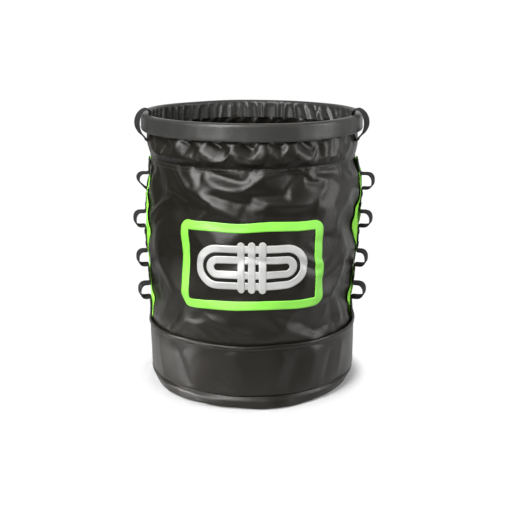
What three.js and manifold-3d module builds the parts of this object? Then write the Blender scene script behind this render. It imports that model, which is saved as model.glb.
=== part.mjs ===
// Rope storage bag: a round, open-topped bag of coated fabric for climbing and rigging ropes.
// A hollow hoop in a sleeve holds the mouth open, a boot of heavier fabric wraps the foot, a daisy chain
// of gear loops runs up each side, and a webbing hoist loop passes round the rim on each side.
// Millimetres, +Z up. The origin is the centre of the foot, and the labelled front faces -Y.

import * as THREE from "three";
import { mergeVertices } from "three/addons/utils/BufferGeometryUtils.js";
import Module from "manifold-3d";

const wasm = await Module();
wasm.setup();

// ---------------------------------------------------------------- driving dimensions
const SEGMENTS = 48; // facets round the bag
const GAP = 0.3; // between pieces that lie on each other
const FAR = 500; // larger than the bag, for cutting boxes

const FOOT_RADIUS = 155;
const RIM_RADIUS = 160.5;
const BAG_HEIGHT = 399; // to the top of the rim sleeve

const FABRIC = 1.2; // coated fabric
const BOOT_FABRIC = 1.4; // heavier fabric of the foot
const BOOT_TOP = 92;
const BOOT_BOTTOM = 17; // where the boot is sewn round the base panel's upturned edge
const BASE_UPTURN = 28; // height of that edge
const BASE_CORNER = 7.5; // radius where it turns up
const BOARD_THICKNESS = 4;
const BINDING = 0.9; // tape folded over the boot's top edge
const BINDING_DEPTH = 7;

const WALL_FOOT_RADIUS = 151.6; // outside of the wall, inside the boot
const WALL_TOP_RADIUS = 150;
const WALL_BULGE = 5.5; // how far the wall swells between the boot and the collar
const WALL_BOTTOM = 9;
const WALL_TOP = 345;
const WALL_STEPS = 7; // straight steps that the swelling is made of

const COLLAR_BOTTOM = 335; // the collar laps the wall by 10
const COLLAR_INNER = 151.15;

const RIM_HEIGHT = 24;
const RIM_DEPTH = 11; // the hoop and both faces of its sleeve
const SLEEVE = 1.3;
const RIM_CORNER = 4.5;
const COLLAR_TUCK = 1.4; // how far the collar runs up inside the sleeve
const HOOP_WALL = 2;
const SPLICE_LENGTH = 70;

const CHAIN_FORWARD = THREE.MathUtils.degToRad(8); // turned from the side towards the front
const BACKING_WIDTH = 44;
const WEBBING_WIDTH = 25;
const WEBBING = 1.8;
const CHAIN_TOP = 333.5;
const CHAIN_BOTTOM = 94;
const LOOP_HEIGHTS = [129, 184, 239, 294]; // middle of each gear loop
const LOOP_RISE = 21; // between the middles of a loop's two legs
const LOOP_REACH = 18;
const ROOT_BEND = 2.5; // bend radius where a leg leaves the backing

const HOIST_FORWARD = THREE.MathUtils.degToRad(16); // turned from the side towards the front
const HOIST_WEBBING = 2;
const HOIST_CLEAR = 0.4; // between the strap's inner leg and the sleeve
const HOIST_BEND = 3.2; // bend radius at the strap's corners
const HOIST_FOOT = 346;
const HOIST_RISE = 3.5; // from the rim's top to the middle of the strap over it
const HOIST_REACH = 10.5; // the same from the rim's outside

const FILM = 0.6; // label border and emblem
const LABEL_WIDTH = 188;
const LABEL_HEIGHT = 122;
const LABEL_MIDDLE = 206;
const LABEL_BORDER = 12.5;
const LABEL_CORNER = 13;

// ---------------------------------------------------------------- materials
const finish = (color, roughness) => new THREE.MeshStandardMaterial({ color, roughness, metalness: 0 });
const materials = {
  fabric: finish(0x2b2b2a, 0.42),
  boot: finish(0x363634, 0.45),
  rim: finish(0x333333, 0.38),
  webbing: finish(0x242524, 0.85),
  green: finish(0x74c93e, 0.6),
  silver: finish(0xbdbdbb, 0.35),
  board: finish(0x1c1c1c, 0.6),
  hoop: finish(0x161616, 0.5),
};

// ---------------------------------------------------------------- shape helpers
function toSolid(geometry) {
  const bare = geometry.index ? geometry.toNonIndexed() : geometry.clone();
  bare.deleteAttribute("normal");
  bare.deleteAttribute("uv");
  const merged = mergeVertices(bare, 1e-4);
  return new wasm.Manifold(
    new wasm.Mesh({
      numProp: 3,
      vertProperties: merged.attributes.position.array,
      triVerts: new Uint32Array(merged.index.array),
    }),
  );
}

function toGeometry(solid) {
  const mesh = solid.getMesh();
  const geometry = new THREE.BufferGeometry();
  geometry.setAttribute("position", new THREE.BufferAttribute(mesh.vertProperties, 3));
  geometry.setIndex(new THREE.BufferAttribute(mesh.triVerts, 1));
  const faceted = geometry.toNonIndexed();
  faceted.computeVertexNormals();
  return faceted;
}

// A solid turned about Z from [radius, height] points.
function turned(profile) {
  const points = profile.map(([radius, height]) => new THREE.Vector2(radius, height));
  return toSolid(new THREE.LatheGeometry(points, SEGMENTS).rotateX(Math.PI / 2));
}

// The same from a closed profile, given counter-clockwise with the radius to the right.
const turnedRing = (profile) => turned([...profile, profile[0]]);

// A ring between two radii, each a function of height, through the given heights.
function sheetRing(inner, outer, heights) {
  const up = heights.map((z) => [outer(z), z]);
  const down = [...heights].reverse().map((z) => [inner(z), z]);
  return turnedRing([...up, ...down]);
}

// A box between two corners, then turned about Z.
function block(x0, x1, y0, y1, z0, z1, turn = 0) {
  const box = new THREE.BoxGeometry(x1 - x0, y1 - y0, z1 - z0);
  return toSolid(box.translate((x0 + x1) / 2, (y0 + y1) / 2, (z0 + z1) / 2).rotateZ(turn));
}

// A shape drawn in the XZ plane, extruded from y0 to y1.
function extrudedAcross(shape, y0, y1) {
  const solid = new THREE.ExtrudeGeometry(shape, { depth: y1 - y0, bevelEnabled: false, curveSegments: 6 });
  return toSolid(solid.rotateX(Math.PI / 2).translate(0, y1, 0));
}

// A polyline with each inner corner rounded by cutting back along both sides.
function roundedPath(corners, cut) {
  const path = new THREE.Path().moveTo(corners[0].x, corners[0].y);
  for (let i = 1; i < corners.length - 1; i++) {
    const [before, corner, after] = [corners[i - 1], corners[i], corners[i + 1]];
    const start = corner.clone().add(before.clone().sub(corner).setLength(cut));
    const end = corner.clone().add(after.clone().sub(corner).setLength(cut));
    path.lineTo(start.x, start.y);
    path.quadraticCurveTo(corner.x, corner.y, end.x, end.y);
  }
  const last = corners.at(-1);
  return path.lineTo(last.x, last.y);
}

// The outline of a strap of the given thickness whose middle follows a path.
function strapOutline(points, thickness) {
  const side = (sign) =>
    points.map((point, i) => {
      const before = points[Math.max(i - 1, 0)];
      const after = points[Math.min(i + 1, points.length - 1)];
      const into = point.clone().sub(before).normalize();
      const out = after.clone().sub(point).normalize();
      const along = into.add(out).normalize();
      return new THREE.Vector2(point.x - (sign * along.y * thickness) / 2, point.y + (sign * along.x * thickness) / 2);
    });
  return new THREE.Shape([...side(1), ...side(-1).reverse()]);
}

function roundedRectangle(Kind, width, height, radius, middleHeight, across = 0) {
  const [left, right] = [across - width / 2 + radius, across + width / 2 - radius];
  const [low, high] = [middleHeight - height / 2 + radius, middleHeight + height / 2 - radius];
  const quarter = Math.PI / 2;
  return new Kind()
    .moveTo(left, low - radius)
    .lineTo(right, low - radius)
    .absarc(right, low, radius, -quarter, 0)
    .lineTo(right + radius, high)
    .absarc(right, high, radius, 0, quarter)
    .lineTo(left, high + radius)
    .absarc(left, high, radius, quarter, 2 * quarter)
    .lineTo(left - radius, low)
    .absarc(left, low, radius, 2 * quarter, 3 * quarter);
}

// A rounded rectangle with a smaller one cut out of it.
function frameShape(width, height, radius, stroke, middleHeight) {
  const shape = roundedRectangle(THREE.Shape, width, height, radius, middleHeight);
  const innerRadius = Math.max(radius - stroke, 3);
  const hole = [width - 2 * stroke, height - 2 * stroke, innerRadius, middleHeight];
  shape.holes.push(roundedRectangle(THREE.Path, ...hole));
  return shape;
}

const evenly = (from, to, steps) =>
  Array.from({ length: steps + 1 }, (_, i) => from + ((to - from) * i) / steps);

// ---------------------------------------------------------------- foot
function basePanel() {
  const [radius, corner] = [FOOT_RADIUS - BOOT_FABRIC - GAP, BASE_CORNER];
  const bend = (r, sign) =>
    evenly(0, Math.PI / 2, 3).map((a) => [radius - corner + r * Math.sin(a), corner - r * Math.cos(a) * sign]);
  return turned([
    [0, 0],
    ...bend(corner, 1),
    [radius, BASE_UPTURN],
    [radius - FABRIC, BASE_UPTURN],
    ...bend(corner - FABRIC, 1).reverse(),
    [0, FABRIC],
  ]);
}

function baseBoard() {
  const [bottom, radius] = [FABRIC + GAP, FOOT_RADIUS - 10];
  return turned([
    [0, bottom],
    [radius, bottom],
    [radius, bottom + BOARD_THICKNESS],
    [0, bottom + BOARD_THICKNESS],
  ]);
}

function bootBand() {
  return sheetRing(() => FOOT_RADIUS - BOOT_FABRIC, () => FOOT_RADIUS, [BOOT_BOTTOM, BOOT_TOP]);
}

// Tape folded over the boot's top edge: a ring of upside-down U section.
function bootBinding() {
  const top = BOOT_TOP + GAP + BINDING;
  const bottom = top - BINDING_DEPTH;
  const outer = FOOT_RADIUS + GAP + BINDING;
  const inner = FOOT_RADIUS - BOOT_FABRIC - GAP - BINDING;
  return turnedRing([
    [outer, bottom],
    [outer, top],
    [inner, top],
    [inner, bottom],
    [inner + BINDING, bottom],
    [inner + BINDING, top - BINDING],
    [outer - BINDING, top - BINDING],
    [outer - BINDING, bottom],
  ]);
}

// ---------------------------------------------------------------- wall and collar
// Outside radius of the wall: straight inside the boot, then swelling up to the collar.
function wallRadius(z) {
  const up = THREE.MathUtils.clamp((z - BOOT_TOP) / (WALL_TOP - BOOT_TOP), 0, 1);
  return THREE.MathUtils.lerp(WALL_FOOT_RADIUS, WALL_TOP_RADIUS, up) + WALL_BULGE * Math.sin(Math.PI * up);
}

// The heights where the wall's slope changes, from one height to another.
function wallHeights(bottom, top) {
  const bends = evenly(BOOT_TOP, WALL_TOP, WALL_STEPS);
  return [bottom, ...bends.filter((z) => z > bottom && z < top), top];
}

// A layer of the given thickness lying a given distance outside the wall.
function layer(lift, thickness, bottom, top) {
  const inner = (z) => wallRadius(z) + lift;
  return sheetRing(inner, (z) => inner(z) + thickness, wallHeights(bottom, top));
}

// The part of the wall before or behind its two seams, which run under the daisy chains.
function wallPanel(isFront) {
  const seam = -WALL_FOOT_RADIUS * Math.sin(CHAIN_FORWARD);
  const [near, far] = isFront ? [-FAR, seam - GAP / 2] : [seam + GAP / 2, FAR];
  return layer(-FABRIC, FABRIC, WALL_BOTTOM, WALL_TOP).intersect(block(-FAR, FAR, near, far, 0, FAR));
}

// The collar is sewn to the wall below and runs up between the legs of the rim sleeve.
function collar() {
  const top = BAG_HEIGHT - RIM_HEIGHT + COLLAR_TUCK;
  return sheetRing(() => COLLAR_INNER, () => COLLAR_INNER + FABRIC, [COLLAR_BOTTOM, top]);
}

// ---------------------------------------------------------------- rim
const rimInner = RIM_RADIUS - RIM_DEPTH;
const hoopBox = {
  inner: rimInner + SLEEVE + GAP,
  outer: RIM_RADIUS - SLEEVE - GAP,
  bottom: BAG_HEIGHT - RIM_HEIGHT + 2,
  top: BAG_HEIGHT - SLEEVE - GAP,
};

// The rim sleeve wraps over the hoop: a ring of upside-down U section with rounded shoulders.
function rimSleeve() {
  const bottom = BAG_HEIGHT - RIM_HEIGHT;
  const shoulder = (radius, wall, from, to) =>
    evenly(from, to, 3).map((a) => [
      radius + (RIM_CORNER - wall) * Math.cos(a),
      BAG_HEIGHT - RIM_CORNER + (RIM_CORNER - wall) * Math.sin(a),
    ]);
  const [outerBend, innerBend] = [RIM_RADIUS - RIM_CORNER, rimInner + RIM_CORNER];
  return turnedRing([
    [RIM_RADIUS, bottom],
    ...shoulder(outerBend, 0, 0, Math.PI / 2),
    ...shoulder(innerBend, 0, Math.PI / 2, Math.PI),
    [rimInner, bottom],
    [rimInner + SLEEVE, bottom],
    ...shoulder(innerBend, SLEEVE, Math.PI, Math.PI / 2),
    ...shoulder(outerBend, SLEEVE, Math.PI / 2, 0),
    [RIM_RADIUS - SLEEVE, bottom],
  ]);
}

// A hollow hoop, cut through at the back, where its two ends meet on the splice.
function rimHoop() {
  const { inner, outer, bottom, top } = hoopBox;
  const chamfer = 3;
  const outside = turnedRing([
    [outer, bottom + chamfer],
    [outer, top - chamfer],
    [outer - chamfer, top],
    [inner + chamfer, top],
    [inner, top - chamfer],
    [inner, bottom + chamfer],
    [inner + chamfer, bottom],
    [outer - chamfer, bottom],
  ]);
  const bore = sheetRing(
    () => inner + HOOP_WALL,
    () => outer - HOOP_WALL,
    [bottom + HOOP_WALL + 1, top - HOOP_WALL - 1],
  );
  return outside.subtract(bore).subtract(block(-GAP, GAP, 0, FAR, 0, FAR));
}

function hoopSplice() {
  const inset = HOOP_WALL + GAP;
  const plug = sheetRing(
    () => hoopBox.inner + inset,
    () => hoopBox.outer - inset,
    [hoopBox.bottom + inset + 1, hoopBox.top - inset - 1],
  );
  return plug.intersect(block(-SPLICE_LENGTH / 2, SPLICE_LENGTH / 2, 0, FAR, 0, FAR));
}

// One strap round the rim: up from the collar's outside, clear of the rim, over it and down inside.
function hoistLoop() {
  const foot = COLLAR_INNER + FABRIC + GAP + HOIST_WEBBING / 2;
  const inside = rimInner - HOIST_CLEAR - HOIST_WEBBING;
  const top = BAG_HEIGHT + HOIST_RISE;
  const outside = RIM_RADIUS + HOIST_REACH;
  const corners = [
    [foot, HOIST_FOOT],
    [foot, HOIST_FOOT + 7],
    [outside, BAG_HEIGHT - RIM_HEIGHT + 3],
    [outside, BAG_HEIGHT - 4],
    [RIM_RADIUS, top],
    [inside, top],
    [inside, HOIST_FOOT + 6],
  ].map(([x, z]) => new THREE.Vector2(x, z));
  const points = roundedPath(corners, HOIST_BEND).getPoints(3);
  return extrudedAcross(strapOutline(points, HOIST_WEBBING), -WEBBING_WIDTH / 2, WEBBING_WIDTH / 2);
}

// ---------------------------------------------------------------- daisy chains
function backingStrip(turn) {
  const sheet = layer(GAP, FABRIC, CHAIN_BOTTOM, CHAIN_TOP);
  return sheet.intersect(block(0, FAR, -BACKING_WIDTH / 2, BACKING_WIDTH / 2, 0, FAR, turn));
}

// One webbing from top to bottom, lying on its backing and standing out in a loop at each height.
function daisyChain() {
  const onWall = (z) => wallRadius(z) + 2 * GAP + FABRIC + WEBBING / 2;
  const path = new THREE.Path().moveTo(onWall(CHAIN_TOP), CHAIN_TOP);
  for (const middle of [...LOOP_HEIGHTS].reverse()) {
    const [upper, lower] = [middle + LOOP_RISE / 2, middle - LOOP_RISE / 2];
    const [above, below] = [upper + ROOT_BEND, lower - ROOT_BEND];
    const bendAt = onWall(middle) + LOOP_REACH - LOOP_RISE / 2;
    path.lineTo(onWall(above), above);
    path.quadraticCurveTo(onWall(above), upper, onWall(above) + ROOT_BEND, upper);
    path.lineTo(bendAt, upper);
    path.absarc(bendAt, middle, LOOP_RISE / 2, Math.PI / 2, -Math.PI / 2, true);
    path.lineTo(onWall(below) + ROOT_BEND, lower);
    path.quadraticCurveTo(onWall(below), lower, onWall(below), below);
  }
  path.lineTo(onWall(CHAIN_BOTTOM), CHAIN_BOTTOM);
  const outline = strapOutline(path.getPoints(5), WEBBING);
  return extrudedAcross(outline, -WEBBING_WIDTH / 2, WEBBING_WIDTH / 2);
}

// ---------------------------------------------------------------- label
// Film lying on the front of the wall, of a shape drawn in the XZ plane.
function film(shape) {
  const [bottom, top] = [LABEL_MIDDLE - LABEL_HEIGHT / 2 - 1, LABEL_MIDDLE + LABEL_HEIGHT / 2 + 1];
  return layer(GAP, FILM, bottom, top).intersect(extrudedAcross(shape, -FAR, 0));
}

const labelBorder = () =>
  film(frameShape(LABEL_WIDTH, LABEL_HEIGHT, LABEL_CORNER, LABEL_BORDER, LABEL_MIDDLE));

// A plain sign for a hank of rope: two long turns, one inside the other, under three upright wraps.
function labelEmblem() {
  const [width, height, stroke, space] = [146, 62, 10.5, 5];
  const [wrap, wrapHeight, pitch] = [9.5, 72, 14];
  const inset = 2 * (stroke + space);
  const turns = [
    frameShape(width, height, height / 2, stroke, LABEL_MIDDLE),
    frameShape(width - inset, height - inset, (height - inset) / 2, stroke, LABEL_MIDDLE),
  ];
  const wraps = [-1, 0, 1].map((n) =>
    roundedRectangle(THREE.Shape, wrap, wrapHeight, wrap / 2 - 0.5, LABEL_MIDDLE, n * pitch),
  );
  const sheet = layer(GAP, FILM, LABEL_MIDDLE - wrapHeight / 2 - 1, LABEL_MIDDLE + wrapHeight / 2 + 1);
  const signs = [...turns, ...wraps].map((shape) => extrudedAcross(shape, -FAR, 0));
  return sheet.intersect(signs.reduce((all, one) => all.add(one)));
}

// ---------------------------------------------------------------- the bag
const bag = new THREE.Group();

function addPiece(name, solid, material, turn = 0) {
  const mesh = new THREE.Mesh(toGeometry(solid), material);
  mesh.name = name;
  mesh.rotation.z = turn;
  bag.add(mesh);
}

addPiece("base_panel", basePanel(), materials.boot);
addPiece("base_board", baseBoard(), materials.board);
addPiece("boot_band", bootBand(), materials.boot);
addPiece("boot_binding", bootBinding(), materials.boot);
addPiece("front_wall", wallPanel(true), materials.fabric);
addPiece("back_wall", wallPanel(false), materials.fabric);
addPiece("collar", collar(), materials.fabric);
addPiece("rim_sleeve", rimSleeve(), materials.rim);
addPiece("rim_hoop", rimHoop(), materials.hoop);
addPiece("hoop_splice", hoopSplice(), materials.hoop);
addPiece("label_border", labelBorder(), materials.green);
addPiece("label_emblem", labelEmblem(), materials.silver);

// Each side's pieces are turned towards the front from +X or -X.
const sides = [
  { side: "right", middle: 0, forward: -1 },
  { side: "left", middle: Math.PI, forward: 1 },
];
for (const { side, middle, forward } of sides) {
  const chainTurn = middle + forward * CHAIN_FORWARD;
  addPiece(`backing_strip_${side}`, backingStrip(chainTurn), materials.green);
  addPiece(`daisy_chain_${side}`, daisyChain(), materials.webbing, chainTurn);
  addPiece(`hoist_loop_${side}`, hoistLoop(), materials.webbing, middle + forward * HOIST_FORWARD);
}

export default bag;
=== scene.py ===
"""Rope storage bag: coated fabric on a stiff foot, a hooped rim, webbing gear loops and a bordered label.

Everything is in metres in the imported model's frame: +Z up, the label faces -Y, the origin under the foot.
A place on the bag is given as phi, the angle from the front towards +X, and z, or as s, the distance round
the wall from the front at the foot's radius, and z. Lengths are written in millimetres times MM.
"""

import math
import random

import bpy
import numpy as np
from mathutils import Matrix, Vector
from mathutils.bvhtree import BVHTree


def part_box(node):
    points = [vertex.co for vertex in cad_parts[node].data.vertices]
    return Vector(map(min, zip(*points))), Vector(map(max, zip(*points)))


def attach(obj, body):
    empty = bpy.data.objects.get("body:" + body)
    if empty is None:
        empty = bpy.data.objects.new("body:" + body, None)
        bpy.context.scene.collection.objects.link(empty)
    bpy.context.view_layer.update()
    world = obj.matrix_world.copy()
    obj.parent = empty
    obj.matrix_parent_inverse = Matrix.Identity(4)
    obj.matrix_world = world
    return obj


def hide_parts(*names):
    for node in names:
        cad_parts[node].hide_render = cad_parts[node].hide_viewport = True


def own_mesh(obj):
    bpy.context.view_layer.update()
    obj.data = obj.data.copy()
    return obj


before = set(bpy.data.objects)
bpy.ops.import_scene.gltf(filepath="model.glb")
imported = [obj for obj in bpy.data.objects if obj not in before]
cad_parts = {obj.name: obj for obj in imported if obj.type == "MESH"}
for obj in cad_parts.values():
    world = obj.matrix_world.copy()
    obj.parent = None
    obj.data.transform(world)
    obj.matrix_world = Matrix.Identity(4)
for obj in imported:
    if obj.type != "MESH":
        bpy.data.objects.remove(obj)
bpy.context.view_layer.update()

MM = 0.001
WAVES = 7  # how many waves make up one patch of unevenness
TURNED = [0, 3, 2, 1]  # the order of a face's corners that turns it over

# ---- places taken from the frame
def heights_of(node):
    low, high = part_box(node)
    return low.z, high.z


FOOT_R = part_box("boot_band")[1].x
BOOT_LOW = heights_of("boot_band")[0]
BINDING_LOW, BOOT_TOP = heights_of("boot_binding")
WALL_LOW, WALL_TOP = heights_of("front_wall")
COLLAR_LOW, COLLAR_TOP = heights_of("collar")
RIM_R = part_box("rim_sleeve")[1].y
RIM_LOW, RIM_TOP = heights_of("rim_sleeve")
CHAIN_LOW, CHAIN_TOP = heights_of("backing_strip_right")
LABEL_LOW, LABEL_HIGH = heights_of("label_border")
LABEL_Z = (LABEL_LOW + LABEL_HIGH) / 2
LABEL_HALF = FOOT_R * math.asin(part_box("label_border")[1].x / FOOT_R)

ROUND = 2 * math.pi * FOOT_R  # all the way round, as s counts it
FABRIC = 1.2 * MM
SEAM_Z = 340 * MM  # the row of stitches that joins the collar to the wall
FLOOR_R = 0.38
PALE = 1.02  # the brightness of the plain surroundings
CHAIN_TURN = math.radians(82)  # phi of the daisy chains, either side of the front
HOIST_TURN = math.radians(74)
LOOP_HEIGHTS = (135, 185, 244, 300)  # the middle of each gear loop, in millimetres
SIDES = {"right": 1, "left": -1}

CLEAR_R = 0.3  # outside everything
WALL_FOOT_R = 150.9 * MM  # the wall, inside the boot
COLLAR_TOP_R = 151.9 * MM  # the collar, where it goes in under the rim
PLEAT_R = 149.5  # the sleeve's inner side, in millimetres, where its pleats are counted


# ---- camera, lights and floor
def make_camera():
    data = bpy.data.cameras.new("camera")
    data.sensor_width = 36
    data.lens = 67.3
    camera = bpy.data.objects.new("camera", data)
    bpy.context.scene.collection.objects.link(camera)
    camera.location = (4.4 * MM, -1388 * MM, 549 * MM)
    camera.rotation_euler = (math.radians(90 - 14.8), 0, 0)
    bpy.context.scene.camera = camera


def softbox(name, place, target, width, height, power, spread=180):
    data = bpy.data.lights.new(name, "AREA")
    data.shape = "RECTANGLE"
    data.size, data.size_y = width, height
    data.spread = math.radians(spread)
    data.energy = power
    light = bpy.data.objects.new(name, data)
    bpy.context.scene.collection.objects.link(light)
    light.location = place
    light.rotation_euler = (Vector(target) - Vector(place)).to_track_quat("-Z", "Y").to_euler()


def make_world():
    """Pale to look at from anywhere. It lights the bag from behind more than from the front, and least
    from the left."""
    world = bpy.data.worlds.new("studio")
    world.use_nodes = True
    n = Nodes(world)
    way = n.add("ShaderNodeSeparateXYZ", {0: n.add("ShaderNodeTexCoord").outputs["Generated"]})
    to_back = n.spread(way.outputs["Y"], 0.10, 0.95, (-0.7, 0.9))
    to_right = n.spread(way.outputs["X"], 0.08, 1.0, (-0.95, -0.3))
    lit = n.math("MULTIPLY", to_back, to_right)
    looked_at = n.add("ShaderNodeLightPath").outputs["Is Camera Ray"]
    strength = n.add("ShaderNodeMix", {"Factor": looked_at, "A": lit, "B": PALE}).outputs[0]
    bpy.context.scene.world = n.connect(Color=(1, 1, 1, 1), Strength=strength)


def make_studio():
    make_world()
    softbox("light_key", (-0.85, -1.3, 0.75), (0, 0, 0.36), 0.7, 0.6, 42)
    softbox("light_low_left", (-0.85, -0.3, 0.10), (-0.1, -0.05, 0.03), 0.2, 0.12, 0.39, spread=20)
    softbox("light_right", (1.45, -0.45, 0.55), (0, 0, 0.2), 0.45, 1.2, 23)
    softbox("light_top", (-0.6, -1.0, 1.4), (0, 0, 0.35), 0.8, 0.6, 38)

    def place(phi, r):
        """Just under the bag, so that the two don't share a face."""
        return polar(r, phi, 0 * r - 0.4 * MM)

    floor = grid("floor", around(96), [1 * MM, FLOOR_R], place, closed=True)
    # The floor's material paints a contact shadow in a ring round the foot.
    floor.data.materials.append(floor_with_painted_shadow())


# ---- meshes
def mesh_object(name, points, faces, uvs=None):
    """A smooth-shaded mesh. uvs holds one pair for each corner of each face, in the order of the faces."""
    mesh = bpy.data.meshes.new(name)
    mesh.from_pydata([tuple(p) for p in points], [], [list(f) for f in faces])
    if uvs is not None:
        layer = mesh.uv_layers.new(name="cloth")
        layer.data.foreach_set("uv", np.asarray(uvs, np.float32).ravel())
    mesh.shade_smooth()
    piece = bpy.data.objects.new(name, mesh)
    bpy.context.scene.collection.objects.link(piece)
    return piece


def quads(across, rows, closed=True):
    """The four corners of every cell of a sheet of points, row by row. closed joins the last column back to
    the first."""
    i, j = np.meshgrid(np.arange(across if closed else across - 1), np.arange(rows - 1))
    start, after = i.ravel(), (i.ravel() + 1) % across
    low, high = j.ravel() * across, (j.ravel() + 1) * across
    return np.stack([low + start, low + after, high + after, high + start], -1)


def ends(across, rows):
    """The two flat faces that close a tube of points."""
    last = across * (rows - 1)
    return [list(range(across)), [last + i for i in reversed(range(across))]]


def tube(across, rows):
    """The faces of a tube of points, with both ends closed."""
    return quads(across, rows)[:, TURNED].tolist() + ends(across, rows)


def grid(name, us, vs, place, closed=False, capped=False):
    """A sheet from a rectangle of u and v values. closed joins the last u back to the first, and capped
    closes both ends with one flat face each. place takes arrays of u and v and gives arrays of x, y and z.
    The face points along du x dv."""
    us, vs = np.asarray(us, float), np.asarray(vs, float)
    u, v = np.meshgrid(us, vs)
    points = np.stack([np.broadcast_to(c, u.shape) for c in place(u, v)], -1).reshape(-1, 3)
    across, rows = len(us), len(vs)
    faces = quads(across, rows, closed)
    corner_us = us[faces % across]
    joined = faces[:, 1:3] % across == 0
    corner_us[:, 1:3][joined] = us[-1] + (us[1] - us[0])
    uvs = np.stack([corner_us, vs[faces // across]], -1).reshape(-1, 2).tolist()
    faces = faces.tolist()
    if capped:
        faces += [end[::-1] for end in ends(across, rows)]
        uvs += [(0, 0)] * (2 * across)
    return mesh_object(name, points, faces, uvs)


def lathe(name, path, place, across, capped=False):
    """A sheet turned round the bag's axis. path lists [radius, height]; place takes phi and those two and
    gives x, y and z."""
    path = np.array(path)
    lengths = np.concatenate([[0], np.cumsum(np.linalg.norm(np.diff(path, axis=0), axis=1))])

    def turned(phi, along):
        row = np.searchsorted(lengths, along - 1e-9)
        return place(phi, path[row, 0], path[row, 1])

    return grid(name, around(across), lengths, turned, closed=True, capped=capped)


def arc(r, z, radius, start, end, count):
    """Rows of [radius, height] along part of a circle about (r, z)."""
    return [(r + radius * math.cos(a), z + radius * math.sin(a)) for a in np.linspace(start, end, count)]


def around(count):
    """phi values all the way round."""
    return np.arange(count) * 2 * math.pi / count - math.pi


def polar(r, phi, z):
    return r * np.sin(phi), -r * np.cos(phi), z


def directions(phi):
    """Outward and forward unit vectors at an angle round the bag."""
    return Vector((math.sin(phi), -math.cos(phi), 0)), Vector((-math.cos(phi), -math.sin(phi), 0))


def clamp(x):
    """x, held between 0 and 1."""
    return np.clip(x, 0, 1)


def past_back(s):
    """The same place counted on through the back, from 0 to all the way round."""
    return np.where(s < 0, s + ROUND, s)


def settle(piece):
    """Applies the modifiers."""
    evaluated = piece.evaluated_get(bpy.context.evaluated_depsgraph_get())
    mesh = bpy.data.meshes.new_from_object(evaluated)
    piece.modifiers.clear()
    piece.data = mesh
    mesh.name = piece.name
    return piece


def subdivide(piece, levels):
    smooth = piece.modifiers.new("smooth", "SUBSURF")
    smooth.levels = smooth.render_levels = levels


def thicken(piece, thickness, offset=-1.0, levels=0):
    """A closed shell from a sheet, behind its face, or with an offset of 1 in front of it."""
    if levels:
        subdivide(piece, levels)
    solid = piece.modifiers.new("thickness", "SOLIDIFY")
    solid.thickness, solid.offset, solid.use_even_offset = thickness, offset, False
    return settle(piece)


def coordinates(mesh):
    co = np.empty(len(mesh.vertices) * 3)
    mesh.vertices.foreach_get("co", co)
    return co.reshape(-1, 3)


def join(name, pieces):
    with bpy.context.temp_override(active_object=pieces[0], selected_editable_objects=pieces):
        bpy.ops.object.join()
    pieces[0].name = pieces[0].data.name = name
    return pieces[0]


def finish_piece(piece, body, look, replaces=(), soft=False):
    """Gives a piece its material and body, and hides the parts it replaces. soft ones get a mesh of their
    own.
    """
    piece.data.materials.clear()
    piece.data.materials.append(MATERIALS[look])
    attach(piece, body)
    if replaces:
        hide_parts(*replaces)
    if soft:
        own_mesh(piece)


def rolling(s, z, scale, seed):
    """Smooth uneven waves, about -1 to 1, that meet at both ends of the way round. Hollows and swells are
    roughly scale millimetres apart."""
    chance = random.Random(seed)
    phi = s / FOOT_R
    place = np.stack(np.broadcast_arrays(FOOT_R * np.sin(phi), FOOT_R * np.cos(phi), z), -1)
    total = 0
    for _ in range(WAVES):
        way = Vector([chance.gauss(0, 1) for _ in range(3)]).normalized()
        pitch = scale * MM * chance.uniform(0.8, 1.9)
        depth, start = chance.uniform(0.5, 1.5), chance.uniform(0, 7)
        bend = depth * np.sin(place @ np.array(way.yzx) * math.pi / pitch + start)
        total = total + np.sin(place @ np.array(way) * 2 * math.pi / pitch + bend + chance.uniform(0, 7))
    return total / math.sqrt(WAVES)


# ---- folds in fabric
CREST = 0.3  # how round a fold's crest is, next to its straight flanks
FLANK = 1.5  # how steeply a fold's flanks fall away
CLOTH_STIFFNESS, CLOTH_BENDING = 12.0, 1.5


def folds(s, z, lines, crest=CREST):
    """Height of the folds at s and z. Each line is (s0, z0, s1, z1, bow, width, height) in millimetres:
    a ridge, or with a negative height a valley, that runs from one point to another, bows sideways
    by bow at its middle, and fades at both ends."""
    height = np.zeros_like(s)
    for s0, z0, s1, z1, bow, width, tall in lines:
        x, y = s / MM - s0, z / MM - z0
        length = math.hypot(s1 - s0, z1 - z0)
        ex, ey = (s1 - s0) / length, (z1 - z0) / length
        along = (x * ex + y * ey) / length
        inside = clamp(along)
        off = -x * ey + y * ex - bow * 4 * inside * (1 - inside)
        beyond = (along - inside) * length
        fade = np.sqrt(clamp(4 * inside * (1 - inside)))
        away = np.sqrt(off * off + beyond * beyond + (crest * width) ** 2) - crest * width
        height += tall * MM * fade * np.exp(-FLANK * away / width)
    return height


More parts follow.
